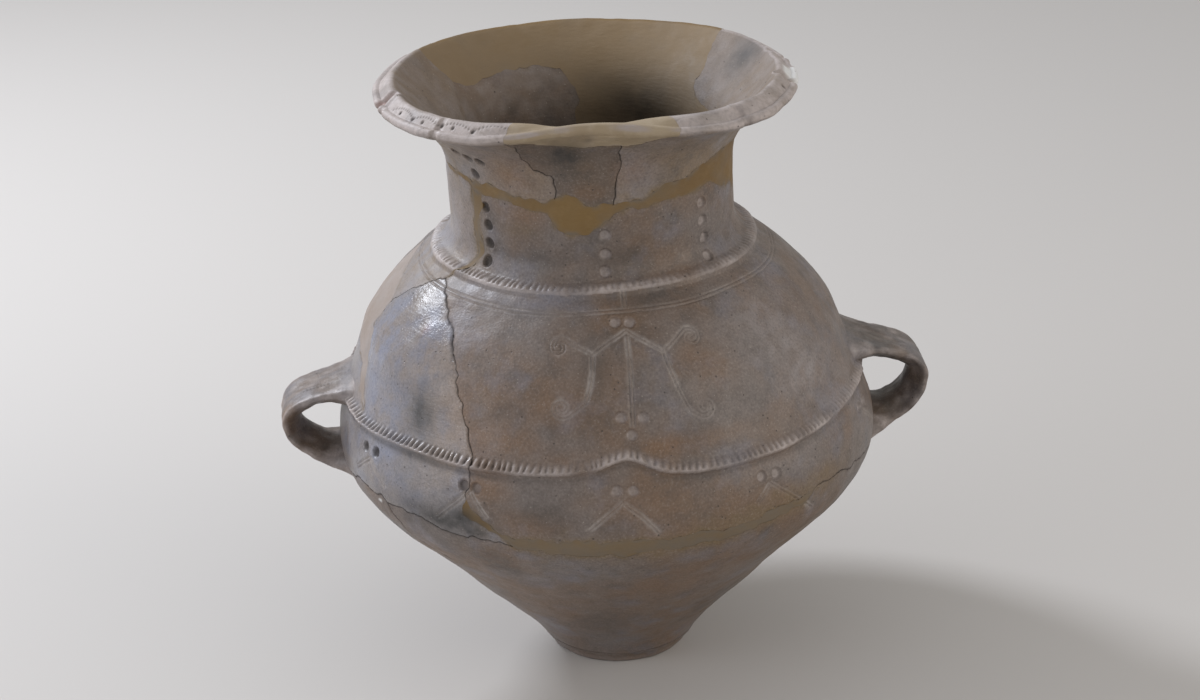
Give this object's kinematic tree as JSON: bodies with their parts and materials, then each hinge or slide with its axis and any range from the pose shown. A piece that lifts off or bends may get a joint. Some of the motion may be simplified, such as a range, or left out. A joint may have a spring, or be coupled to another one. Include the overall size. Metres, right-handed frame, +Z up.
{
  "type": "urn",
  "caption": "Hand-built clay urn with conical foot, wide belly, flared lip, strap loop handles and raised cordons, restored from sherds and plaster fills.",
  "frame": {"origin": "centre of the foot's underside, on the surface that the urn stands on", "axes": "+Z up, the two handles on +X and -X, the front with the spiral ornament towards -Y"},
  "size_m": [0.4884, 0.403, 0.4596],
  "materials": {
    "clay_grey_brown": "burnished, semi-matt",
    "clay_dark": "burnished, semi-matt",
    "clay_blue_grey": "burnished, satin",
    "clay_pale": "worn, matt",
    "plaster_ochre": "tinted plaster, matt",
    "plaster_pale": "tinted plaster, matt"
  },
  "bodies": {
    "root": {"foot": "clay_dark", "lower_body": "clay_grey_brown", "seam_fill_front": "plaster_ochre", "belly_sherd_front": "clay_grey_brown", "belly_sherd_left": "clay_blue_grey", "belly_sherd_rear_left": "clay_grey_brown", "belly_sherd_rear_right": "clay_grey_brown", "shoulder_sherd_left": "clay_pale", "shoulder_fill_left": "plaster_ochre", "neck_strip_fill": "plaster_ochre", "neck_band_fill": "plaster_ochre", "neck_sherd_rear": "clay_grey_brown", "rear_fill": "plaster_ochre", "rim_sherd_left": "clay_pale", "rim_sherd_front": "clay_dark", "rim_sherd_right": "clay_pale", "lip_fill_front": "plaster_pale", "left_handle": "clay_grey_brown", "right_handle": "clay_dark"}
  },
  "joints": []
}
